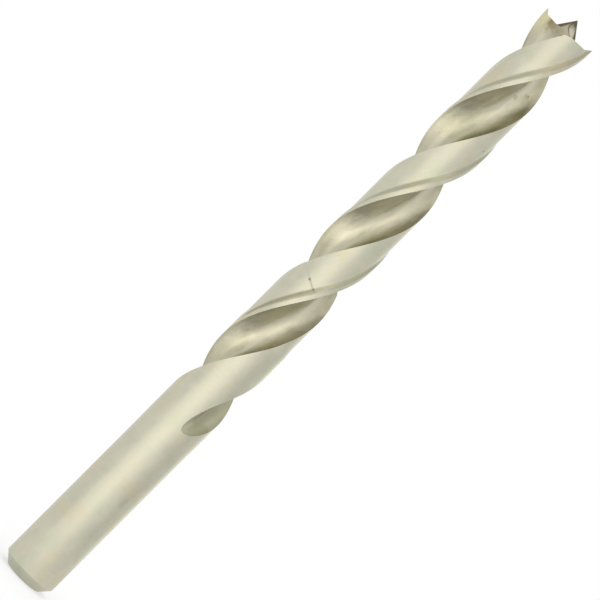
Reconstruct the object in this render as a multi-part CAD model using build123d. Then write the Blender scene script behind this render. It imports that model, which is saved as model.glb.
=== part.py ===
"""Brad point twist drill bit for wood: one ground steel blank, standing on its shank end.

Millimetres. +Z runs from the shank end to the centre point, and the origin is the centre of the shank end.
"""
import math
import os

from build123d import *

os.makedirs("parts", exist_ok=True)

# Blank, with the shank ground a little under the cutting diameter
diameter = 12.0
lip_height = 149.5
shank_diameter = 11.9
shank_length = 38.0
shank_blend = 3.0
shank_chamfer_length = 2.0
shank_chamfer_depth = 1.8

# Flutes, two of them, right-hand
lead = 58.65
flute_start = 42.2
flute_angle = 97.1
heel_angle = 78.0
web = 2.2
web_growth = 0.009
root_radius = 3.8
exit_angle = 55.0
wheel_radius = 30.0

# Lands: margin at the cutting edge, then a step down to the relieved back
margin_angle = 11.5
step_angle = 11.0
relief_depth = 0.35
relief_start = 80.5
relief_skew = 22.0
light_relief_depth = 0.21
light_relief_start = 66.0
light_relief_ramp = 2.0

# Point
spur_rise = 1.35
spur_width = 1.0
lip_dish = 0.2
lip_relief = 5.0
feed_skew = 4.0
point_rise = 3.55
point_half_width = 2.4
point_offset = 0.2
point_back = 1.5
heel_facet_width = 2.0
heel_facet_angle = 20.0
lip_azimuth = -11.6

# Modelling allowances: how far a cutter runs past what it cuts, and the turn between its sections
overrun = 2.0
section_turn = 12.0
relief_run_off = 8.0
past_axis = 0.25
seam_angle = 90.0

radius = diameter / 2
shank_radius = shank_diameter / 2
half_web = web / 2
helix_angle = math.degrees(math.atan(math.pi * diameter / lead))
tip_height = lip_height + point_rise
cutter_top = tip_height + overrun


def polar(r, degrees):
    """Point of a cross-section at a radius and an angle."""
    return Vector(r * math.cos(math.radians(degrees)), r * math.sin(math.radians(degrees)))


def turn(z):
    """Angle of a cross-section about the axis, zero where the lips are."""
    return lip_azimuth + 360 * (z - lip_height) / lead


def heights(low, high, step):
    """Evenly spaced heights from low to high, at most a step apart."""
    count = max(2, math.ceil((high - low) / step))
    return [low + (high - low) * i / count for i in range(count + 1)]


def on_section(points, z):
    """Points of a cross-section, turned with the helix and lifted to their height."""
    return [Vector(p.X, p.Y, z).rotate(Axis.Z, turn(z)) for p in points]


def opposite(shape):
    """The same cut on the other side of the bit."""
    return Rot(0, 0, 180) * shape


# Flute section: a straight face at the lip, a round root and a straight wall up to the heel
lip_corner_angle = math.degrees(math.asin(half_web / radius))
heel_corner_angle = lip_corner_angle + flute_angle
heel_corner = polar(radius, heel_corner_angle)
wall_direction = polar(1, heel_corner_angle + 180 - (90 - heel_angle))
inner_corner = heel_corner + wall_direction * ((half_web - heel_corner.Y) / wall_direction.Y)
wall_slope = math.degrees(math.atan2(-wall_direction.Y, -wall_direction.X))
root_reach = root_radius / math.tan(math.radians(wall_slope / 2))
root_centre = inner_corner + Vector(root_reach, root_radius)
exit_direction = polar(1, exit_angle)


def wheel_exit():
    """Shift that takes the flute section just clear of the blank."""
    along = root_centre.dot(exit_direction)
    across = root_centre.length**2 - (radius + root_radius) ** 2
    return -along + math.sqrt(along**2 - across)


axial_wheel_radius = wheel_radius * math.cos(math.radians(helix_angle)) ** 2
exit_shift = wheel_exit() - web_growth * (lip_height - flute_start)
run_out = math.sqrt(axial_wheel_radius**2 - (axial_wheel_radius - exit_shift) ** 2)
full_depth_start = flute_start + run_out


def flute_shift(z):
    """How far the flute section has moved out from its place at the lips."""
    taper = web_growth * (lip_height - z)
    rise = max(0.0, full_depth_start - z)
    return taper + axial_wheel_radius - math.sqrt(axial_wheel_radius**2 - rise**2)


def flute_outline(z):
    """Closed wire of the flute cutter at a height."""
    shift = exit_direction * flute_shift(z)
    lip_end = Vector(radius + 2 * overrun, half_web)
    lip_tangent = Vector(root_centre.X, half_web)
    root_middle = root_centre + polar(root_radius, 180 + wall_slope / 2)
    wall_tangent = root_centre + polar(root_radius, 90 + wall_slope)
    wall_end = heel_corner - wall_direction * 2 * overrun
    far_corner = Vector(lip_end.X, wall_end.Y)
    marks = [lip_end, lip_tangent, root_middle, wall_tangent, wall_end, far_corner]
    a, b, c, d, e, f = on_section([m + shift for m in marks], z)
    edges = [
        Edge.make_line(a, b),
        Edge.make_three_point_arc(b, c, d),
        Edge.make_line(d, e),
        Edge.make_line(e, f),
        Edge.make_line(f, a),
    ]
    return Wire(edges)


def flute_cutter():
    """Path of the grinding wheel through one flute, from its run-out to past the point."""
    step = lead * section_turn / 360
    low = flute_start - overrun / 2
    levels = heights(low, full_depth_start, step / 2)[:-1] + heights(full_depth_start, cutter_top, step)
    return Solid.make_loft([flute_outline(z) for z in levels])


def leading_angle(z):
    """Section angle of the cutting edge, which the growing web moves forward."""
    return math.degrees(math.asin((half_web + exit_direction.Y * flute_shift(z)) / radius))


def trailing_angle(z):
    """Section angle of the heel of the land that follows the cutting edge's own land."""
    start = heel_corner + exit_direction * flute_shift(z)
    along = start.dot(wall_direction)
    across = start.length**2 - radius**2
    crossing = start + wall_direction * (-along - math.sqrt(along**2 - across))
    return math.degrees(math.atan2(crossing.Y, crossing.X))


def relief_outline(z, depth):
    """Closed wire round what is ground off the back of one land, with the floor at a depth."""
    floor = radius - depth
    step_top = polar(floor + relief_depth, leading_angle(z) - margin_angle)
    step_foot_angle = leading_angle(z) - margin_angle - step_angle
    step_foot = polar(floor, step_foot_angle)
    step_end = step_foot + (step_top - step_foot) * 3
    step_end_angle = math.degrees(math.atan2(step_end.Y, step_end.X))
    back = trailing_angle(z) - 180 - relief_run_off
    marks = [
        step_foot,
        polar(floor, (step_foot_angle + back) / 2),
        polar(floor, back),
        polar(step_end.length, back),
        polar(step_end.length, (step_end_angle + back) / 2),
        step_end,
    ]
    a, b, c, d, e, f = on_section(marks, z)
    edges = [
        Edge.make_three_point_arc(a, b, c),
        Edge.make_line(c, d),
        Edge.make_three_point_arc(d, e, f),
        Edge.make_line(f, a),
    ]
    return Wire(edges)


def light_relief():
    """Shallow first grind behind the margin, which runs in gradually."""
    step = lead * section_turn / 360
    slope = light_relief_depth / light_relief_ramp
    full = light_relief_start + light_relief_ramp
    ramp = heights(light_relief_start - overrun, full, step)
    run = heights(full, relief_start + 2 * overrun, step)
    return Solid.make_loft([relief_outline(z, slope * (min(z, full) - light_relief_start)) for z in ramp[:-1] + run])


def full_relief():
    """Deeper grind behind the margin, which starts with a small ledge square to the helix."""
    step = lead * section_turn / 360
    levels = heights(relief_start - 2 * overrun, cutter_top, step)
    cutter = Solid.make_loft([relief_outline(z, relief_depth) for z in levels])
    land_angle = leading_angle(relief_start) - trailing_angle(relief_start) + 180
    middle = turn(relief_start) + leading_angle(relief_start) - land_angle / 2
    lean = Vector(0, 1, 0).rotate(Axis.X, 90 - relief_skew).rotate(Axis.Z, middle)
    ledge = Plane(origin=(0, 0, relief_start), z_dir=lean)
    return split(cutter, bisect_by=ledge, keep=Keep.TOP)


def ground_half():
    """What the point grinder takes off one half: above the heel facet, the lip and its spur."""
    heel_drop = (heel_facet_width + past_axis) * math.tan(math.radians(heel_facet_angle))
    spur_foot = radius - spur_width
    spur_slope = (spur_rise - lip_dish) / spur_width
    outside = radius + overrun
    ceiling = tip_height + overrun
    marks = [
        (-past_axis, lip_height - heel_drop),
        (heel_facet_width, lip_height),
        (spur_foot, lip_height + lip_dish),
        (outside, lip_height + lip_dish + spur_slope * (outside - spur_foot)),
        (outside, ceiling),
        (-past_axis, ceiling),
    ]
    profile = Face(Wire.make_polygon([Vector(x, half_web, z) for x, z in marks], close=True))
    skew = math.radians(feed_skew)
    feed = Vector(math.sin(skew), -math.cos(skew), -math.tan(math.radians(lip_relief)))
    lead_in = profile.moved(Location(feed * -outside))
    return extrude(lead_in, amount=3 * outside * feed.length, dir=feed.normalized())


def centre_point():
    """Four-sided pyramid left standing in the middle, with two edges over the lips."""
    foot = lip_height - point_rise
    spread = (tip_height - foot) / point_rise
    marks = [
        (point_half_width, half_web),
        (-point_offset, point_back),
        (-point_half_width, -half_web),
        (point_offset, -point_back),
    ]
    base = [Vector(-point_offset + spread * (x + point_offset), spread * y, foot) for x, y in marks]
    apex = Vector(-point_offset, 0, tip_height)
    sides = [Face(Wire.make_polygon([base[i], base[(i + 1) % 4], apex], close=True)) for i in range(4)]
    floor = Face(Wire.make_polygon(base, close=True))
    return Solid(Shell(sides + [floor]))


outline = [
    (0, 0),
    (shank_radius - shank_chamfer_depth, 0),
    (shank_radius, shank_chamfer_length),
    (shank_radius, shank_length),
    (radius, shank_length + shank_blend),
    (radius, tip_height),
    (0, tip_height),
]
turned = Face(Wire.make_polygon([Vector(x, 0, z) for x, z in outline], close=True))
blank = Rot(0, 0, seam_angle) * revolve(turned, Axis.Z)
flute = flute_cutter()
body = blank - flute - opposite(flute)
print("fluted", body.is_valid, round(body.volume, 2))
for relief in (light_relief(), full_relief()):
    body = body - relief - opposite(relief)
    print("relieved", relief.is_valid, body.is_valid, round(body.volume, 2))
half = ground_half()
grinder = Rot(0, 0, lip_azimuth) * (half + opposite(half) - centre_point())
print("grinder", grinder.is_valid, round(grinder.volume, 2))
body = body - grinder
print("drill bit", body.is_valid, round(body.volume, 2), len(body.solids()), len(body.faces()))
export_step(body, "parts/drill_bit.step")
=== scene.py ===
import math

import bmesh
import bpy
import numpy as np
from mathutils import Matrix, Vector


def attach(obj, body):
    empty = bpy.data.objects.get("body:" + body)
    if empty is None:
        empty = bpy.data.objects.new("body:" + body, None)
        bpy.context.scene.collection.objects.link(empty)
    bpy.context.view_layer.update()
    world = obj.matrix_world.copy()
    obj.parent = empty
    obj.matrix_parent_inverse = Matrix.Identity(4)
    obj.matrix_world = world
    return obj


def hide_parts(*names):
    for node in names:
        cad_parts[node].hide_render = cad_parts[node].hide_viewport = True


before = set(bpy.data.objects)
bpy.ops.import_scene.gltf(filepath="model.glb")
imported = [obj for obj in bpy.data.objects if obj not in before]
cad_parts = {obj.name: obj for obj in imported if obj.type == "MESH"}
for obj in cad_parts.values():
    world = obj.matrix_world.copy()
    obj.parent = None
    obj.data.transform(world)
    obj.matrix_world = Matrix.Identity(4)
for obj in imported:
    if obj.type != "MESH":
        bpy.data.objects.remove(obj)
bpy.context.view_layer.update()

MM = 0.001

# Blank
radius = 6.0
lip_height = 149.5
shank_radius = 5.95
shank_length = 38.0
shank_blend = 3.0
chamfer_length = 2.0
chamfer_depth = 1.8

# Flutes
lead = 58.65
flute_start = 42.2
flute_angle = 97.1
heel_angle = 78.0
half_web = 1.1
web_growth = 0.009
root_radius = 3.8
exit_angle = 55.0
wheel_radius = 30.0

# Lands
margin_angle = 11.5
step_angle = 11.0
relief_depth = 0.35
relief_start = 80.5
relief_skew = 22.0
light_relief_depth = 0.21
light_relief_start = 66.0
light_relief_ramp = 2.0
ledge_ramp = 0.16

# Lowest height at which straight lines in the materials follow the edges of the land
fit_low = 60.0

# Point
spur_rise = 1.35
spur_width = 1.0
lip_dish = 0.2
lip_relief = 5.0
feed_skew = 4.0
point_rise = 3.55
point_half_width = 2.4
point_offset = 0.2
point_back = 1.5
heel_facet_width = 2.0
heel_facet_angle = 20.0
lip_azimuth = -11.6
past_axis = 0.25
overrun = 2.0

# Faces of the mesh across the flute and across the three strips of the land
flute_steps = 44
relief_steps = 27
slope_steps = 4
margin_steps = 6
path_samples = 1500

# Cross-sections of the mesh: their spacing, and how they crowd together at the run-out and at the ledge
first_shank_ring = 4
shank_spacing = 2
blend_rings = 5
run_out_rings = 64
run_out_crowding = 1.6
ring_spacing = 0.4
ledge_reach = 2.2
ledge_clear = 2.4
ledge_spacing = 0.11
top_allowance = 1

# Mending of the mesh: points nearer than this are one, and edges shorter than this go
weld_distance = 0.002
sliver_length = 0.001

# Smallest angle between faces at which their edge looks sharp
sharp_angle = 24

# Material slots of the bit
LAND, FLUTE, POINT = 0, 1, 2

# Steel colours, and the tints that darken them in places
land_pale = (0.59, 0.575, 0.455, 1)
land_deep = (0.525, 0.517, 0.412, 1)
warm_tint = (1.0, 0.955, 0.90, 1)
green_tint = (0.965, 1.0, 0.955, 1)
chamfer_tint = (0.97, 0.99, 1.0, 1)
# Dark band at the step of each land: partly dirt, partly painted shade of its concave foot
step_dirt_and_shade_tint = (0.74, 0.73, 0.67, 1)
light_step_dirt_and_shade_tint = (0.84, 0.83, 0.78, 1)
ledge_tint = (0.78, 0.76, 0.70, 1)
speck_tint = (0.56, 0.53, 0.46, 1)
pit_tint = (0.80, 0.80, 0.78, 1)
worn_steel = (0.60, 0.60, 0.50, 1)
flute_pale = (0.625, 0.596, 0.456, 1)
flute_deep = (0.535, 0.505, 0.380, 1)
blotch_tint = (0.85, 0.86, 0.81, 1)
# Painted shade of the hollow flute: on the heel wall, on the lip's side and along the lip's edge
heel_shade_tint = (0.67, 0.67, 0.645, 1)
lip_shade_tint = (0.84, 0.845, 0.84, 1)
lip_edge_shade_tint = (0.90, 0.90, 0.87, 1)
# Painted shade in the root of the flute
root_shade_tint = (0.87, 0.88, 0.87, 1)
run_out_tint = (0.88, 0.90, 0.87, 1)
# Painted shade on the heel wall at the run-out
run_out_heel_shade_tint = (0.72, 0.73, 0.70, 1)
smudge_tint = (0.81, 0.80, 0.77, 1)
straw_tint = (0.86, 0.84, 0.71, 1)
brown_tint = (0.40, 0.37, 0.32, 1)
shaded_tint = (0.84, 0.77, 0.67, 1)
# Black burn of the point's tip and edges, also used for painted shade along its grinding line
burn_and_crease_shade_tint = (0.22, 0.20, 0.16, 1)
point_pale = (0.60, 0.58, 0.48, 1)
point_deep = (0.48, 0.46, 0.37, 1)

# Noise of each surface: cells per millimetre along x, y and z, then detail and roughness
land_mottle = ((0.34, 0.34, 0.24), 4.0, 0.6)
land_hue = ((0.16, 0.19, 0.12), 3.0, 0.6)
land_grain = ((1.6, 1.6, 1.2), 3.0, 0.6)
land_pits = ((1.1, 1.1, 1.1), 5.0, 0.75)
round_grinding = ((0.12, 0.12, 8.0), 4.0, 0.7)
back_grinding = ((6.0, 6.0, 0.12), 4.0, 0.7)
flute_mottle = ((0.30, 0.30, 0.22), 4.0, 0.6)
flute_grain = ((1.4, 1.4, 1.1), 4.0, 0.65)
flute_blotches = ((0.21, 0.20, 0.13), 3.0, 0.5)
flute_grinding = ((3.2, 3.2, 0.08), 5.0, 0.7)
point_grain = ((1.8, 1.8, 1.8), 4.0, 0.65)
point_grinding = ((7.0, 1.2, 1.2), 4.0, 0.7)

# Levels of noise from where a share is 0 to where it is 1
land_tone = (0.38, 0.62)
warm_level = (0.52, 0.66)
green_level = (0.48, 0.36)
pit_level = (0.70, 0.74)
broken_level = (0.42, 0.58)
worn_level = (0.40, 0.60)
flute_tone = (0.36, 0.64)
blotch_level = (0.48, 0.66)
point_tone = (0.38, 0.62)

# Roughness of the steel, the levels of noise that it follows and what changes it
rough_level = (0.80, 1.20)
land_roughness = (0.36, 0.46)
worn_smoothing = 0.10
flute_roughness = (0.33, 0.45)
run_out_roughening = 0.08
point_rough_level = (0.35, 0.65)
point_roughness = (0.28, 0.38)

# Share of the grinding marks in the tone, the rest being mottle, and how high the marks stand
land_marks_share = 0.45
flute_marks_share = 0.40
land_mark_height = 0.003
flute_mark_height = 0.004
point_mark_height = 0.004

# How many times higher than the marks the mottle of the flute stands
flute_waves = 40.0

# How far noise shifts an edge: in degrees at the step, in millimetres elsewhere
step_raggedness = 3.0
ledge_raggedness = 0.5
run_out_raggedness = 5.0
reach_raggedness = 0.8
lip_raggedness = 2.5
crease_raggedness = 0.2
tip_raggedness = 1.2
spot_raggedness = 1.6

# Small marks seen on the bit, each a place and a radius, and how they fade in shares of that radius
land_specks = [((-1.46, -5.46, 80.35), 0.28), ((0.45, -5.76, 79.53), 0.22), ((4.83, -2.92, 121.73), 0.20)]
flute_specks = [((3.49, 0.99, 135.91), 0.22)]
flute_smudges = [((1.83, -0.56, 133.79), 0.65), ((3.30, 0.80, 135.60), 0.55)]
spot_fade = (-0.3, 0.4)

tip_height = lip_height + point_rise

# Floor and room, in metres and in levels where white paper is 1
floor_radius = 0.06
floor_segments = 96
paper_grey = 0.85
paper_white_share = 0.6
room_level = 0.7

# Lamps and cards, in metres
bit_middle = Vector((0, 0, 0.0765))
lamp_distance = 0.8
card_distance = 0.7
warm_light = (1.0, 0.93, 0.84)
low_light = (1.0, 0.96, 0.90)
high_light = (1.0, 0.98, 0.94)

# Camera, in metres but for the lens and its sensor
camera_lens = 147.8
camera_sensor = 36.0
camera_near = 0.01
camera_distance = 0.480
camera_across = 0.00004
camera_height = 0.07626

helix_angle = math.atan(2 * math.pi * radius / lead)


def polar(r, degrees):
    """Point of a cross-section at a radius and an angle."""
    return np.array([r * math.cos(math.radians(degrees)), r * math.sin(math.radians(degrees))])


def turn(z):
    """Angle of a cross-section about the axis, zero where the lips are."""
    return lip_azimuth + 360 * (z - lip_height) / lead


# Flute section: a straight face at the lip, a round root and a straight wall up to the heel
heel_corner_angle = math.degrees(math.asin(half_web / radius)) + flute_angle
heel_corner = polar(radius, heel_corner_angle)
wall_direction = polar(1, heel_corner_angle + 90 + heel_angle)
inner_corner = heel_corner + wall_direction * ((half_web - heel_corner[1]) / wall_direction[1])
wall_slope = math.degrees(math.atan2(-wall_direction[1], -wall_direction[0]))
root_reach = root_radius / math.tan(math.radians(wall_slope / 2))
root_centre = inner_corner + np.array([root_reach, root_radius])
exit_direction = polar(1, exit_angle)

# Run-out, where the grinding wheel leaves the blank along its own radius
exit_along = float(root_centre @ exit_direction)
exit_across = float(root_centre @ root_centre) - (radius + root_radius) ** 2
exit_shift = -exit_along + math.sqrt(exit_along**2 - exit_across) - web_growth * (lip_height - flute_start)
axial_wheel_radius = wheel_radius * math.cos(helix_angle) ** 2
run_out = math.sqrt(axial_wheel_radius**2 - (axial_wheel_radius - exit_shift) ** 2)
full_depth_start = flute_start + run_out


def flute_path():
    """Flute section as a dense line, from outside the lip, round the root and out past the heel."""
    straight = np.linspace([radius + 2 * overrun, half_web], [root_centre[0], half_web], path_samples)
    arc = [root_centre + polar(root_radius, a) for a in np.linspace(270, 90 + wall_slope, path_samples)]
    wall = np.linspace(arc[-1], heel_corner - wall_direction * 2 * overrun, path_samples)
    return np.vstack([straight, arc[1:], wall[1:]])


flute_line = flute_path()


def flute_shift(z):
    """How far the flute section has moved out from its place at the lips."""
    rise = max(0.0, full_depth_start - z)
    return web_growth * (lip_height - z) + axial_wheel_radius - math.sqrt(axial_wheel_radius**2 - rise**2)


def relief_floor(angle, middle, z):
    """Depth of the ground back of the land at an angle of the section and a height."""
    full = light_relief_start + light_relief_ramp
    light = light_relief_depth * np.clip((min(z, full) - light_relief_start) / light_relief_ramp, 0, 1)
    tilt = math.tan(math.radians(relief_skew))
    ledge = relief_start - radius * tilt * np.sin(np.radians(angle - middle))
    return light + (relief_depth - light) * np.clip((z - ledge) / ledge_ramp + 0.5, 0, 1)


def land_radius(angle, leading, trailing, z):
    """Radius of the land that ends at the leading edge, with its heel at trailing."""
    foot = leading - margin_angle - step_angle
    floor = radius - relief_floor(angle, (leading + trailing) / 2, z)
    return np.minimum(radius, floor + relief_depth * np.clip((angle - foot) / step_angle, 0, None))


def crossing(points, excess, i):
    """Point of a line where the excess over the land changes sign, between i and i + 1."""
    share = excess[i] / (excess[i] - excess[i + 1])
    return points[i] + (points[i + 1] - points[i]) * share


def flute_at(z):
    """Flute section at a height, with the angle and the distance from the axis of each of its points."""
    line = flute_line + exit_direction * flute_shift(max(z, flute_start))
    return line, np.degrees(np.arctan2(line[:, 1], line[:, 0])), np.hypot(line[:, 0], line[:, 1])


def lip_end(line, excess):
    """Index and point where the flute starts, at the leading edge."""
    nearest = int(np.argmin(np.hypot(line[:, 0], line[:, 1])))
    start = nearest - int(np.argmax(excess[nearest::-1] > 0))
    return start, crossing(line, excess, start)


def heel_end(line, excess):
    """Index and point where the flute ends, at the heel."""
    nearest = int(np.argmin(np.hypot(line[:, 0], line[:, 1])))
    end = nearest + int(np.argmax(excess[nearest:] > 0)) - 1
    return end, crossing(line, excess, end)


def edge_angles(z):
    """Section angles of the leading edge and of the heel across the flute from it."""
    line, _, reach = flute_at(z)
    first = lip_end(line, reach - radius)[1]
    last = heel_end(line, reach - radius)[1]
    return math.degrees(math.atan2(first[1], first[0])), math.degrees(math.atan2(last[1], last[0]))


def land_angles(leading, heel):
    """Section angles across the land: its relieved back, its sloping step and its margin."""
    foot = leading - margin_angle - step_angle
    top = leading - margin_angle
    return np.concatenate([
        np.linspace(heel, foot, relief_steps + 1)[:-1],
        np.linspace(foot, top, slope_steps + 1)[:-1],
        np.linspace(top, leading, margin_steps + 1),
    ])


def evenly_spaced(line, steps):
    """Points that cut a line into steps of equal length, without its two ends."""
    run = np.concatenate([[0], np.cumsum(np.hypot(*np.diff(line, axis=0).T))])
    places = np.linspace(0, run[-1], steps + 1)[1:-1]
    return np.column_stack([np.interp(places, run, line[:, k]) for k in range(2)])


def half_ring(z):
    """Half of a cross-section: the land from its heel to the leading edge, then the flute ahead of it."""
    line, angle, reach = flute_at(z)
    if z <= flute_start or reach.min() >= radius:
        leading = trailing = angle[int(np.argmin(reach))]
        flute = None
    else:
        start, first = lip_end(line, reach - radius)
        leading, trailing = edge_angles(z)
        heel_reach = land_radius(angle - 180, leading, trailing - 180, z)
        end, last = heel_end(line, reach - heel_reach)
        trailing = math.degrees(math.atan2(last[1], last[0]))
        flute = np.vstack([[first], line[start + 1:end + 1], [last]])
    angles = land_angles(leading, trailing - 180)
    if z <= flute_start:
        reach = np.full(len(angles), blank_radius(z))
    else:
        reach = land_radius(angles, leading, trailing - 180, z)
    land = np.column_stack([reach * np.cos(np.radians(angles)), reach * np.sin(np.radians(angles))])
    if flute is None:
        inner = np.repeat(land[-1:], flute_steps - 1, axis=0)
    else:
        inner = evenly_spaced(flute, flute_steps)
    return np.vstack([land, inner])


def blank_radius(z):
    """Radius of the blank below the flutes, with its chamfer and its slightly thinner shank."""
    heights = [0, chamfer_length, shank_length, shank_length + shank_blend]
    return np.interp(z, heights, [shank_radius - chamfer_depth, shank_radius, shank_radius, radius])


def ring(z):
    """Whole cross-section at a height, turned with the helix."""
    half = half_ring(z)
    a = math.radians(turn(max(z, flute_start)))
    spun = half @ np.array([[math.cos(a), math.sin(a)], [-math.sin(a), math.cos(a)]])
    flat = np.vstack([spun, -spun])
    return np.column_stack([flat, np.full(len(flat), z)])


def levels():
    """Heights of the cross-sections, closest together at the run-out and at the ledge."""
    shank = [0, chamfer_length, *np.arange(first_shank_ring, shank_length, shank_spacing)]
    blend = np.linspace(shank_length, flute_start, blend_rings)
    shares = [(i / run_out_rings) ** run_out_crowding for i in range(1, run_out_rings + 1)]
    runs = [flute_start + run_out * share for share in shares]
    below = np.arange(full_depth_start + ring_spacing, relief_start - ledge_clear, ring_spacing)
    ledge = np.arange(relief_start - ledge_reach, relief_start + ledge_reach, ledge_spacing)
    above = np.arange(relief_start + ledge_clear, tip_height + top_allowance, ring_spacing)
    return [*shank, *blend, *runs, *below, *ledge, *above]


land_edges = edge_angles(relief_start)
half_land = (land_edges[0] - land_edges[1] + 180) / 2


def bit_body():
    """The ground blank as one closed mesh, before the point is ground."""
    rings = [ring(float(z)) for z in levels()]
    count = len(rings[0])
    per_half = count // 2
    land_count = relief_steps + slope_steps + margin_steps
    mesh = bmesh.new()
    rows = [[mesh.verts.new(p) for p in row] for row in rings]
    for low, high in zip(rows, rows[1:]):
        for i in range(count):
            j = (i + 1) % count
            face = mesh.faces.new([low[i], low[j], high[j], high[i]])
            face.material_index = LAND if i % per_half < land_count else FLUTE
    mesh.faces.new(rows[0][::-1])
    mesh.faces.new(rows[-1])
    bmesh.ops.remove_doubles(mesh, verts=mesh.verts, dist=weld_distance)
    bmesh.ops.dissolve_degenerate(mesh, edges=mesh.edges, dist=sliver_length)
    return finished(mesh, "bit_body")


def finished(mesh, name):
    """Object with the mesh of a bmesh, which is freed."""
    data = bpy.data.meshes.new(name)
    mesh.to_mesh(data)
    mesh.free()
    obj = bpy.data.objects.new(name, data)
    bpy.context.scene.collection.objects.link(obj)
    return obj


def solid(points, faces, name):
    """Closed mesh of the point grinder, whose faces become ground faces of the point."""
    mesh = bmesh.new()
    verts = [mesh.verts.new(p) for p in points]
    for face in faces:
        mesh.faces.new([verts[i] for i in face]).material_index = POINT
    bmesh.ops.recalc_face_normals(mesh, faces=mesh.faces)
    return finished(mesh, name)


def ground_half(side):
    """What the point grinder takes off one half: above the heel facet, the lip and its spur."""
    heel_drop = (heel_facet_width + past_axis) * math.tan(math.radians(heel_facet_angle))
    spur_foot = radius - spur_width
    spur_slope = (spur_rise - lip_dish) / spur_width
    outside = radius + overrun
    ceiling = tip_height + overrun
    profile = [
        (-past_axis, lip_height - heel_drop),
        (heel_facet_width, lip_height),
        (spur_foot, lip_height + lip_dish),
        (outside, lip_height + lip_dish + spur_slope * (outside - spur_foot)),
        (outside, ceiling),
        (-past_axis, ceiling),
    ]
    skew = math.radians(feed_skew)
    feed = Vector((math.sin(skew), -math.cos(skew), -math.tan(math.radians(lip_relief))))
    start = [Vector((x, half_web, z)) - feed * outside for x, z in profile]
    end = [p + feed * 3 * outside for p in start]
    n = len(profile)
    sides = [(i, (i + 1) % n, n + (i + 1) % n, n + i) for i in range(n)]
    spin = Matrix.Rotation(math.radians(lip_azimuth + side), 4, "Z")
    faces = [tuple(range(n)), tuple(range(n, 2 * n)), *sides]
    return solid([spin @ p for p in start + end], faces, "ground_half")


def centre_point():
    """Four-sided pyramid left standing in the middle, with two edges over the lips."""
    foot = lip_height - point_rise
    spread = (tip_height - foot) / point_rise
    marks = [
        (point_half_width, half_web),
        (-point_offset, point_back),
        (-point_half_width, -half_web),
        (point_offset, -point_back),
    ]
    base = [Vector((-point_offset + spread * (x + point_offset), spread * y, foot)) for x, y in marks]
    apex = Vector((-point_offset, 0, tip_height))
    spin = Matrix.Rotation(math.radians(lip_azimuth), 4, "Z")
    sides = [(i, (i + 1) % 4, 4) for i in range(4)]
    return solid([spin @ p for p in base + [apex]], [(0, 1, 2, 3), *sides], "centre_point")


def combined(target, tool, operation):
    """Target after a boolean with the tool, which is then deleted."""
    step = target.modifiers.new(operation, "BOOLEAN")
    step.operation = operation
    step.solver = "EXACT"
    step.object = tool
    bpy.context.view_layer.update()
    result = bpy.data.meshes.new_from_object(target.evaluated_get(bpy.context.evaluated_depsgraph_get()))
    target.modifiers.clear()
    target.data = result
    bpy.data.objects.remove(tool)
    return target


def drill_bit(materials):
    """The bit: fluted blank less what the point grinder takes off."""
    grinder = combined(ground_half(0), ground_half(180), "UNION")
    grinder = combined(grinder, centre_point(), "DIFFERENCE")
    body = bit_body()
    for material in materials:
        body.data.materials.append(material)
        grinder.data.materials.append(material)
    body = combined(body, grinder, "DIFFERENCE")
    data = body.data
    data.transform(Matrix.Scale(MM, 4))
    data.polygons.foreach_set("use_smooth", [True] * len(data.polygons))
    data.set_sharp_from_angle(angle=math.radians(sharp_angle))
    body.name = "ground_bit"
    return body


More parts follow.
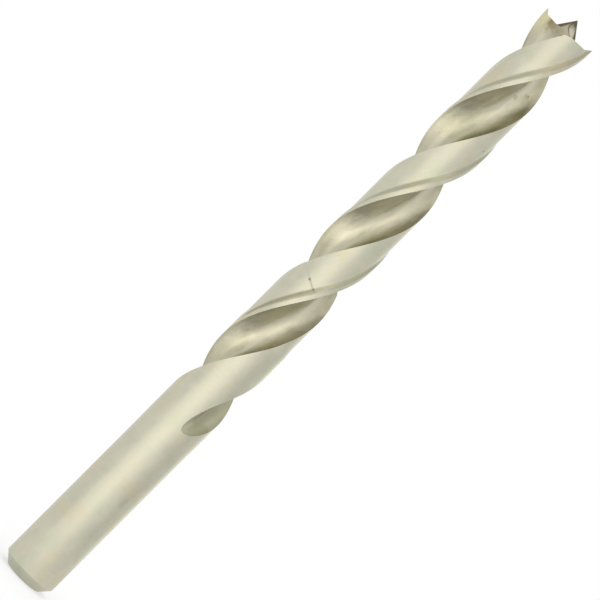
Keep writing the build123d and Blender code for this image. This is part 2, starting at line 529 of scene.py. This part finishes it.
class Nodes:
    """Short forms for building a node tree."""

    def __init__(self, tree):
        self.tree = tree
        tree.nodes.clear()

    def add(self, kind, inputs=None, **settings):
        """New node with its settings and its inputs, by name or by number."""
        node = self.tree.nodes.new(kind)
        for name, value in settings.items():
            setattr(node, name, value)
        for key, value in (inputs or {}).items():
            self.put(node.inputs[key], value)
        return node

    def put(self, socket, value):
        """Link a socket to the input, or set the input's constant."""
        if isinstance(value, bpy.types.NodeSocket):
            self.tree.links.new(value, socket)
        else:
            socket.default_value = value

    def math(self, operation, a, b=0.0, c=0.0):
        """Result of an operation on up to three values."""
        return self.add("ShaderNodeMath", {0: a, 1: b, 2: c}, operation=operation).outputs[0]

    def largest(self, values):
        """Largest of the values."""
        result = values[0]
        for value in values[1:]:
            result = self.math("MAXIMUM", result, value)
        return result

    def product(self, values):
        """All the values multiplied together."""
        result = values[0]
        for value in values[1:]:
            result = self.math("MULTIPLY", result, value)
        return result

    def mix(self, factor, a, b, blend="MIX"):
        """Colour between a and b, or b blended over a."""
        node = self.add("ShaderNodeMix", data_type="RGBA", blend_type=blend)
        self.put(node.inputs["Factor"], factor)
        self.put(next(i for i in node.inputs if i.type == "RGBA" and i.name == "A"), a)
        self.put(next(i for i in node.inputs if i.type == "RGBA" and i.name == "B"), b)
        return next(o for o in node.outputs if o.type == "RGBA")

    def tinted(self, colour, share, tint):
        """Colour multiplied by the tint where the share is 1."""
        return self.mix(share, colour, tint, "MULTIPLY")

    def blend(self, factor, a, b):
        """Value between a and b."""
        return self.add("ShaderNodeMix", {0: factor, 2: a, 3: b}, data_type="FLOAT").outputs[0]

    def tone(self, marks, mottle, share, fade):
        """Share of grinding marks and mottle together, where the marks have a share of the whole."""
        both = self.math("MULTIPLY_ADD", marks, share, self.math("MULTIPLY", mottle, 1 - share))
        return self.span(both, *fade)

    def ragged(self, value, noise, amount):
        """Value shifted by noise, so that what fades along it gets an uneven edge."""
        return self.math("MULTIPLY_ADD", noise, amount, value)

    def span(self, value, low, high, to_low=0.0, to_high=1.0, smooth=True):
        """Value mapped from low and high to two others, and held there beyond them."""
        kind = "SMOOTHSTEP" if smooth else "LINEAR"
        inputs = {"Value": value, "From Min": low, "From Max": high, "To Min": to_low, "To Max": to_high}
        return self.add("ShaderNodeMapRange", inputs, interpolation_type=kind).outputs[0]

    def line(self, value, low, high, to_low, to_high):
        """Straight line through two points, which goes on past both."""
        slope = (to_high - to_low) / (high - low)
        return self.math("MULTIPLY_ADD", value, slope, to_low - slope * low)

    def band(self, value, centre, half, soft):
        """1 within half of the centre, fading to 0 over the soft width."""
        away = self.math("ABSOLUTE", self.math("SUBTRACT", value, centre))
        return self.span(away, half, half + soft, 1.0, 0.0)

    def noise(self, vector, cells, detail, roughness):
        """Noise with so many cells per millimetre along x, y and z."""
        place = self.stretched(vector, cells)
        inputs = {"Vector": place, "Scale": 1.0, "Detail": detail, "Roughness": roughness}
        return self.add("ShaderNodeTexNoise", inputs).outputs[0]

    def stretched(self, vector, factors):
        """Vector multiplied by a factor along each axis."""
        return self.add("ShaderNodeVectorMath", {0: vector, 1: factors}, operation="MULTIPLY").outputs[0]

    def parts(self, vector):
        """The x, y and z of a vector."""
        return self.add("ShaderNodeSeparateXYZ", {0: vector}).outputs

    def spots(self, here, noise, places):
        """Small ragged spots round the places, each a point and a radius in millimetres."""
        shares = []
        for point, size in places:
            apart = self.add("ShaderNodeVectorMath", {0: here, 1: point}, operation="DISTANCE")
            edge = self.ragged(apart.outputs["Value"], noise, -spot_raggedness * size)
            shares.append(self.span(edge, spot_fade[0] * size, spot_fade[1] * size, 1.0, 0.0))
        return self.largest(shares)


class Place:
    """Where a point of the bit is, as sockets in millimetres and in degrees behind the leading edge."""

    def __init__(self, nodes):
        in_metres = nodes.add("ShaderNodeTexCoord").outputs["Object"]
        self.here = nodes.stretched(in_metres, (1 / MM, 1 / MM, 1 / MM))
        self.height = nodes.parts(self.here)[2]
        untwist = nodes.line(self.height, 0, lead, -math.radians(turn(0)), -math.radians(turn(lead)))
        spun = {"Vector": self.here, "Angle": untwist}
        self.straight = nodes.add("ShaderNodeVectorRotate", spun, rotation_type="Z_AXIS").outputs[0]
        x, y, _ = nodes.parts(self.straight)
        squares = nodes.math("ADD", nodes.math("POWER", x, 2.0), nodes.math("POWER", y, 2.0))
        self.reach = nodes.math("SQRT", squares)
        angle = nodes.math("DEGREES", nodes.math("ARCTAN2", y, x))
        low, high = edge_angles(fit_low), edge_angles(lip_height)
        leading = nodes.line(self.height, fit_low, lip_height, low[0], high[0])
        self.behind = nodes.math("FLOORED_MODULO", nodes.math("SUBTRACT", leading, angle), 180.0)
        widths = [leading_angle - trailing_angle + 180 for leading_angle, trailing_angle in (low, high)]
        self.heel = nodes.line(self.height, fit_low, lip_height, *widths)
        self.past_heel = nodes.math("SUBTRACT", self.behind, self.heel)


def steel_material(name):
    """New material with an empty tree and the place of each point."""
    material = bpy.data.materials.new(name)
    material.use_nodes = True
    nodes = Nodes(material.node_tree)
    return material, nodes, Place(nodes)


def steel_surface(nodes, colour, roughness, marks, mark_height):
    """Bare metal whose marks stand up by a height in millimetres."""
    bump = nodes.add("ShaderNodeBump", {"Height": marks, "Strength": 1.0, "Distance": mark_height * MM})
    shader = nodes.add("ShaderNodeBsdfPrincipled", {
        "Base Color": colour,
        "Metallic": 1.0,
        "Roughness": roughness,
        "Normal": bump.outputs[0],
    })
    out = nodes.add("ShaderNodeOutputMaterial")
    nodes.put(out.inputs["Surface"], shader.outputs[0])


# Fades of the land by height, each from where its share is 0 to where it is 1
chamfer_fade = (chamfer_length + 0.05, chamfer_length - 0.15)
light_fade = (light_relief_start - 0.5, light_relief_start + light_relief_ramp)
ledge_fade = (-0.2, 0.4)
fluted_fade = (flute_start + 8, flute_start + 12)

# Fades of the land by degrees behind the leading edge
land_foot = margin_angle + step_angle
back_fade = (land_foot - 1, land_foot + 2)
lead_edge_fade = (1.4, 0.2)

# Relief at which the marks turn along the helix, then strengths of the ledge's line and of the wear
relieved_fade = (0.1, 0.6)
broken_share = (0.35, 1.0)
worn_share = (0.2, 0.8)

# Bands of the land: middle, half width and soft width
step_band = (margin_angle + step_angle / 2 + 0.2, 2.8, 5.6)
ledge_line = (0.25, 0.03, 0.16)
ledge_stretch = (land_foot + 9.5, 10.0, 14.0)
heel_edge = (0.0, 0.4, 1.0)


def relief_shares(nodes, place):
    """Share of the light relief, share of any relief, and height above the skewed ledge."""
    light = nodes.span(place.height, *light_fade)
    across = nodes.math("SINE", nodes.math("RADIANS", nodes.math("SUBTRACT", half_land, place.behind)))
    rise = radius * math.tan(math.radians(relief_skew))
    ledge = nodes.line(across, 0, 1, relief_start, relief_start - rise)
    past_ledge = nodes.math("SUBTRACT", place.height, ledge)
    relieved = nodes.math("MAXIMUM", light, nodes.span(past_ledge, *ledge_fade))
    return light, relieved, past_ledge


def worn_edges(nodes, place, grain):
    """Share of rubbed metal along the two edges of each land."""
    lead_edge = nodes.span(place.behind, *lead_edge_fade)
    edges = nodes.math("MAXIMUM", lead_edge, nodes.band(place.past_heel, *heel_edge))
    fluted = nodes.span(place.height, *fluted_fade)
    return nodes.product([edges, fluted, nodes.span(grain, *worn_level, *worn_share)])


def land_steel():
    """Round-ground shank, margins and relieved backs of the lands, with the dark step, partly dirt and
    partly painted shade, and the ledge.
    """
    material, nodes, place = steel_material("land_steel")
    mottle = nodes.noise(place.here, *land_mottle)
    hue = nodes.noise(place.here, *land_hue)
    grain = nodes.noise(place.here, *land_grain)
    pits = nodes.noise(place.here, *land_pits)
    round_marks = nodes.noise(place.here, *round_grinding)
    back_marks = nodes.noise(place.straight, *back_grinding)
    light, relieved, past_ledge = relief_shares(nodes, place)
    on_back = nodes.product([nodes.span(place.behind, *back_fade), nodes.span(relieved, *relieved_fade)])
    marks = nodes.blend(on_back, round_marks, back_marks)

    colour = nodes.mix(nodes.tone(marks, mottle, land_marks_share, land_tone), land_deep, land_pale)
    colour = nodes.tinted(colour, nodes.span(hue, *warm_level), warm_tint)
    colour = nodes.tinted(colour, nodes.span(hue, *green_level), green_tint)
    colour = nodes.tinted(colour, nodes.span(place.height, *chamfer_fade), chamfer_tint)
    # Dark band at the step: partly dirt, partly painted shade of its concave foot
    step = nodes.band(nodes.ragged(place.behind, grain, step_raggedness), *step_band)
    colour = nodes.tinted(colour, nodes.math("MULTIPLY", step, relieved), step_dirt_and_shade_tint)
    below_ledge = nodes.span(past_ledge, *ledge_fade[::-1])
    colour = nodes.tinted(colour, nodes.product([step, light, below_ledge]), light_step_dirt_and_shade_tint)
    line = nodes.band(nodes.ragged(past_ledge, grain, ledge_raggedness), *ledge_line)
    broken = nodes.span(mottle, *broken_level, *broken_share)
    reached = nodes.band(place.behind, *ledge_stretch)
    colour = nodes.tinted(colour, nodes.product([line, broken, reached]), ledge_tint)
    colour = nodes.tinted(colour, nodes.spots(place.here, grain, land_specks), speck_tint)
    colour = nodes.tinted(colour, nodes.span(pits, *pit_level), pit_tint)
    worn = worn_edges(nodes, place, grain)
    colour = nodes.mix(worn, colour, worn_steel)

    rough = nodes.span(nodes.math("ADD", marks, mottle), *rough_level, *land_roughness)
    rough = nodes.math("MULTIPLY_ADD", worn, -worn_smoothing, rough)
    steel_surface(nodes, colour, rough, marks, land_mark_height)
    return material


# Fades of the flute by degrees past the heel
heel_side = (60.0, 40.0)
lip_side = (40.0, 60.0)
lip_edge_side = (60.0, 80.0)
root_side = (20.0, 40.0)
run_out_heel_side = (54.0, 32.0)

# Fades of the flute by distance from the axis
wall_distance = (2.6, 5.0)
lip_distance = (3.0, 4.6)
lip_edge_distance = (5.5, 6.1)
root_distance = (3.2, 1.8)

# Stains of the flute: where the run-out's stain ends, and the straw band and the brown burn at the lip
run_out_end = (flute_start + 11.8, flute_start + 18.3)
straw_height = (lip_height - 3.0, lip_height + 1.0)
straw_band = (4.6, 0.3, 1.8)
burn_height = (lip_height - 2.1, lip_height + 0.9)
burn_distance = (4.3, 3.3)
burn_spread_height = (lip_height - 1.5, lip_height + 1.1)
burn_spread = 0.8
burn_inner_distance = (1.4, 3.2)
burn_inner_share = (0.15, 1.0)


def flute_side_shade(nodes, colour, place, deep, above):
    """Colour darkened by painted shade in the hollow flute: on the heel wall, on the lip's side and along
    the lip's edge, above the run-out.
    """
    sides = [
        (heel_side, wall_distance, heel_shade_tint),
        (lip_side, lip_distance, lip_shade_tint),
        (lip_edge_side, lip_edge_distance, lip_edge_shade_tint),
    ]
    for side, distance, tint in sides:
        share = nodes.product([nodes.span(place.past_heel, *side), nodes.span(deep, *distance), above])
        colour = nodes.tinted(colour, share, tint)
    return colour


def lip_stains(nodes, colour, place, grain, deep):
    """Colour with the straw band at the lip and the brown burn between the lip and the centre point."""
    height = nodes.ragged(place.height, grain, lip_raggedness)
    straw = nodes.product([nodes.span(height, *straw_height), nodes.band(place.reach, *straw_band)])
    colour = nodes.tinted(colour, straw, straw_tint)
    spread = nodes.math("SUBTRACT", deep, nodes.span(height, *burn_spread_height, 0.0, burn_spread))
    inner = nodes.span(deep, *burn_inner_distance, *burn_inner_share)
    burn = nodes.product([nodes.span(height, *burn_height), nodes.span(spread, *burn_distance), inner])
    return nodes.tinted(colour, burn, brown_tint)


def flute_steel():
    """Flutes ground along the helix, dull and stained at the run-out and the lips, with painted shade on
    the heel wall, on the lip's side, along the lip's edge and in the root.
    """
    material, nodes, place = steel_material("flute_steel")
    mottle = nodes.noise(place.here, *flute_mottle)
    grain = nodes.noise(place.here, *flute_grain)
    blotches = nodes.noise(place.here, *flute_blotches)
    marks = nodes.noise(place.straight, *flute_grinding)
    run_out_height = nodes.ragged(place.height, mottle, run_out_raggedness)
    run_out_share = nodes.span(run_out_height, *run_out_end, 1.0, 0.0)
    above = nodes.math("SUBTRACT", 1.0, run_out_share)
    deep = nodes.ragged(place.reach, grain, reach_raggedness)

    colour = nodes.mix(nodes.tone(marks, mottle, flute_marks_share, flute_tone), flute_deep, flute_pale)
    # Painted shade in the hollow of the flute, on the heel wall and on the lip's side
    colour = flute_side_shade(nodes, colour, place, deep, above)
    colour = nodes.tinted(colour, nodes.span(blotches, *blotch_level), blotch_tint)
    # Painted shade in the root of the flute
    root = nodes.product([nodes.span(place.reach, *root_distance), nodes.span(place.past_heel, *root_side)])
    colour = nodes.tinted(colour, root, root_shade_tint)
    colour = nodes.tinted(colour, run_out_share, run_out_tint)
    # Painted shade on the heel wall at the run-out
    run_out_heel = nodes.math("MULTIPLY", run_out_share, nodes.span(place.past_heel, *run_out_heel_side))
    colour = nodes.tinted(colour, run_out_heel, run_out_heel_shade_tint)
    colour = lip_stains(nodes, colour, place, grain, deep)
    colour = nodes.tinted(colour, nodes.spots(place.here, grain, flute_smudges), smudge_tint)
    colour = nodes.tinted(colour, nodes.spots(place.here, grain, flute_specks), speck_tint)

    rough = nodes.span(nodes.math("ADD", marks, mottle), *rough_level, *flute_roughness)
    rough = nodes.math("MULTIPLY_ADD", run_out_share, run_out_roughening, rough)
    waves = nodes.math("MULTIPLY_ADD", mottle, flute_waves, marks)
    steel_surface(nodes, colour, rough, waves, flute_mark_height)
    return material


# Grinding line on the faces of the centre point, as a distance from the axis that changes down from the tip
crease_offset = -0.25
crease_lean = -0.185
crease_bend_start = 1.65
crease_bend = 0.53
crease_fade = (0.2, 0.0)
crease_line = (0.1, 0.06, 0.15)

# Fades of the centre point by height, by distance from the axis and by share of its half width
point_foot_height = (lip_height - 1.2, lip_height - 0.8)
point_distance = (3.4, 2.8)
burnt_height = (tip_height - 2.15, tip_height - 0.15)
burnt_edge = (0.58, 0.84)
edge_burn_and_crease_shade_strength = 0.9
least_below_tip = 0.05


def past_crease_line(nodes, across, below_tip):
    """How far a place across a face of the centre point lies past its grinding line."""
    past_bend = nodes.math("MAXIMUM", nodes.math("SUBTRACT", below_tip, crease_bend_start), 0.0)
    straight = nodes.math("MULTIPLY_ADD", below_tip, crease_lean, crease_offset)
    crease = nodes.math("MULTIPLY_ADD", nodes.math("POWER", past_bend, 2.0), crease_bend, straight)
    return nodes.math("SUBTRACT", across, crease)


def burn_and_crease_shade_share(nodes, place, grain, across, below_tip, past_crease):
    """Share of the black burn at the tip and along the edges, and of painted shade along the grinding line.
    """
    slope = point_half_width / point_rise
    flank = nodes.math("MULTIPLY", nodes.math("MAXIMUM", below_tip, least_below_tip), slope)
    share = nodes.math("DIVIDE", nodes.math("ABSOLUTE", across), flank)
    edges = nodes.math("MAXIMUM", nodes.band(past_crease, *crease_line), nodes.span(share, *burnt_edge))
    near_tip = nodes.span(nodes.ragged(place.height, grain, tip_raggedness), *burnt_height)
    return nodes.math("MAXIMUM", near_tip, nodes.math("MULTIPLY", edges, edge_burn_and_crease_shade_strength))


def point_steel():
    """Ground faces of the lips, the spurs and the centre point, which is darkened at its tip and edges,
    with painted shade on one face and along its grinding line.
    """
    material, nodes, place = steel_material("point_steel")
    grain = nodes.noise(place.here, *point_grain)
    marks = nodes.noise(place.here, *point_grinding)
    x, y, _ = nodes.parts(place.here)
    across = nodes.math("MULTIPLY", x, nodes.math("MULTIPLY", nodes.math("SIGN", y), -1.0))
    below_tip = nodes.math("SUBTRACT", tip_height, place.height)
    past_crease = nodes.ragged(past_crease_line(nodes, across, below_tip), grain, crease_raggedness)
    on_height = nodes.span(place.height, *point_foot_height)
    on_point = nodes.math("MULTIPLY", on_height, nodes.span(place.reach, *point_distance))

    colour = nodes.mix(nodes.span(marks, *point_tone), point_deep, point_pale)
    shaded = nodes.math("MULTIPLY", on_point, nodes.span(past_crease, *crease_fade))
    colour = nodes.tinted(colour, shaded, shaded_tint)
    # Burn at the tip and edges, and painted shade along the grinding line
    burn_and_crease_shade = burn_and_crease_shade_share(nodes, place, grain, across, below_tip, past_crease)
    colour = nodes.tinted(colour, nodes.math("MULTIPLY", on_point, burn_and_crease_shade), burn_and_crease_shade_tint)
    rough = nodes.span(marks, *point_rough_level, *point_roughness)
    steel_surface(nodes, colour, rough, marks, point_mark_height)
    return material


def seen_white(nodes):
    """1 for rays that see the background: from the camera, or by way of metal or glass."""
    path = nodes.add("ShaderNodeLightPath")
    seen = nodes.math("MAXIMUM", path.outputs["Is Camera Ray"], path.outputs["Is Glossy Ray"])
    return nodes.math("MAXIMUM", seen, path.outputs["Is Transmission Ray"])


def studio_floor():
    """Round of white paper that keeps a soft shadow of the bit."""
    mesh = bmesh.new()
    bmesh.ops.create_circle(mesh, cap_ends=True, segments=floor_segments, radius=floor_radius)
    floor = finished(mesh, "floor")
    material = bpy.data.materials.new("paper")
    material.use_nodes = True
    nodes = Nodes(material.node_tree)
    paper = nodes.add("ShaderNodeBsdfDiffuse", {"Color": (paper_grey, paper_grey, paper_grey, 1)})
    white = nodes.add("ShaderNodeEmission", {"Color": (1, 1, 1, 1), "Strength": 1.0})
    share = nodes.math("MULTIPLY", seen_white(nodes), paper_white_share)
    both = nodes.add("ShaderNodeMixShader", {0: share, 1: paper.outputs[0], 2: white.outputs[0]})
    out = nodes.add("ShaderNodeOutputMaterial")
    nodes.put(out.inputs["Surface"], both.outputs[0])
    floor.data.materials.append(material)


def studio_world():
    """White background, and a plain level of light all round."""
    world = bpy.data.worlds.new("studio")
    bpy.context.scene.world = world
    world.use_nodes = True
    nodes = Nodes(world.node_tree)
    level = nodes.span(seen_white(nodes), 0.0, 1.0, room_level, 1.0, smooth=False)
    background = nodes.add("ShaderNodeBackground", {"Color": (1, 1, 1, 1), "Strength": level})
    out = nodes.add("ShaderNodeOutputWorld")
    nodes.put(out.inputs["Surface"], background.outputs[0])


def panel_place(azimuth, elevation, distance, roll):
    """Place of a panel that faces the bit; azimuth 0 is the camera's side, 90 is +X, and roll turns it."""
    a, e, r = math.radians(azimuth), math.radians(elevation), math.radians(roll)
    away = Vector((math.sin(a) * math.cos(e), -math.cos(a) * math.cos(e), math.sin(e)))
    side = Vector((math.cos(a), math.sin(a), 0))
    up = away.cross(side)
    wide = side * math.cos(r) + up * math.sin(r)
    turned = Matrix((wide, away.cross(wide), away)).transposed().to_4x4()
    return Matrix.Translation(bit_middle + away * distance) @ turned


def softbox(name, place, width, height, level, colour=(1, 1, 1)):
    """Area light whose own brightness is the level, where white paper is 1."""
    data = bpy.data.lights.new(name, "AREA")
    data.shape = "RECTANGLE"
    data.size, data.size_y = width, height
    data.energy = level * math.pi * width * height
    data.color = colour
    light = bpy.data.objects.new(name, data)
    light.matrix_world = place
    light.visible_camera = False
    bpy.context.scene.collection.objects.link(light)
    return light


def grey_card(name, place, width, height, level):
    """Card outside the picture whose grey the metal mirrors in place of the white background."""
    mesh = bmesh.new()
    x, y = width / 2, height / 2
    corners = [(-x, -y), (x, -y), (x, y), (-x, y)]
    mesh.faces.new([mesh.verts.new((*corner, 0)) for corner in corners])
    mesh.transform(place)
    card = finished(mesh, name)
    material = bpy.data.materials.new(name)
    material.use_nodes = True
    nodes = Nodes(material.node_tree)
    grey = nodes.add("ShaderNodeEmission", {"Color": (level, level, level, 1), "Strength": 1.0})
    out = nodes.add("ShaderNodeOutputMaterial")
    nodes.put(out.inputs["Surface"], grey.outputs[0])
    card.data.materials.append(material)
    card.visible_camera = False
    card.visible_diffuse = False
    card.visible_shadow = False


def photo_camera():
    """Camera that looks along +Y, turned 45 degrees so that the bit lies on the picture's diagonal."""
    data = bpy.data.cameras.new("camera")
    data.lens = camera_lens
    data.sensor_width = camera_sensor
    data.clip_start = camera_near
    camera = bpy.data.objects.new("camera", data)
    half = math.sqrt(0.5)
    camera.matrix_world = Matrix((
        (half, -half, 0, camera_across),
        (0, 0, -1, -camera_distance),
        (half, half, 0, camera_height),
        (0, 0, 0, 1),
    ))
    bpy.context.scene.collection.objects.link(camera)
    bpy.context.scene.camera = camera


photo_camera()
studio_world()
studio_floor()
softbox("key", panel_place(-8, -2, lamp_distance, 28), 1.5, 0.60, 0.54, warm_light)
softbox("back_key", panel_place(172, 0, lamp_distance, 45), 1.6, 0.66, 0.40, warm_light)
top = softbox("top", panel_place(0, 90, lamp_distance, 0), 0.6, 0.6, 3.3)
top.visible_glossy = False
softbox("low_fill", panel_place(-34, -47, lamp_distance, 30), 1.4, 0.45, 0.80, low_light)
softbox("high_fill", panel_place(40, 60, lamp_distance, 0), 0.6, 0.35, 0.60, high_light)
grey_card("card_low", panel_place(68, -38, card_distance, 45), 0.9, 0.5, 0.45)
grey_card("card_right", panel_place(106, -4, card_distance, 0), 0.5, 0.9, 0.86)

bit = drill_bit([land_steel(), flute_steel(), point_steel()])
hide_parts("drill_bit")
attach(bit, "root")

bpy.context.scene.view_settings.view_transform = "Standard"
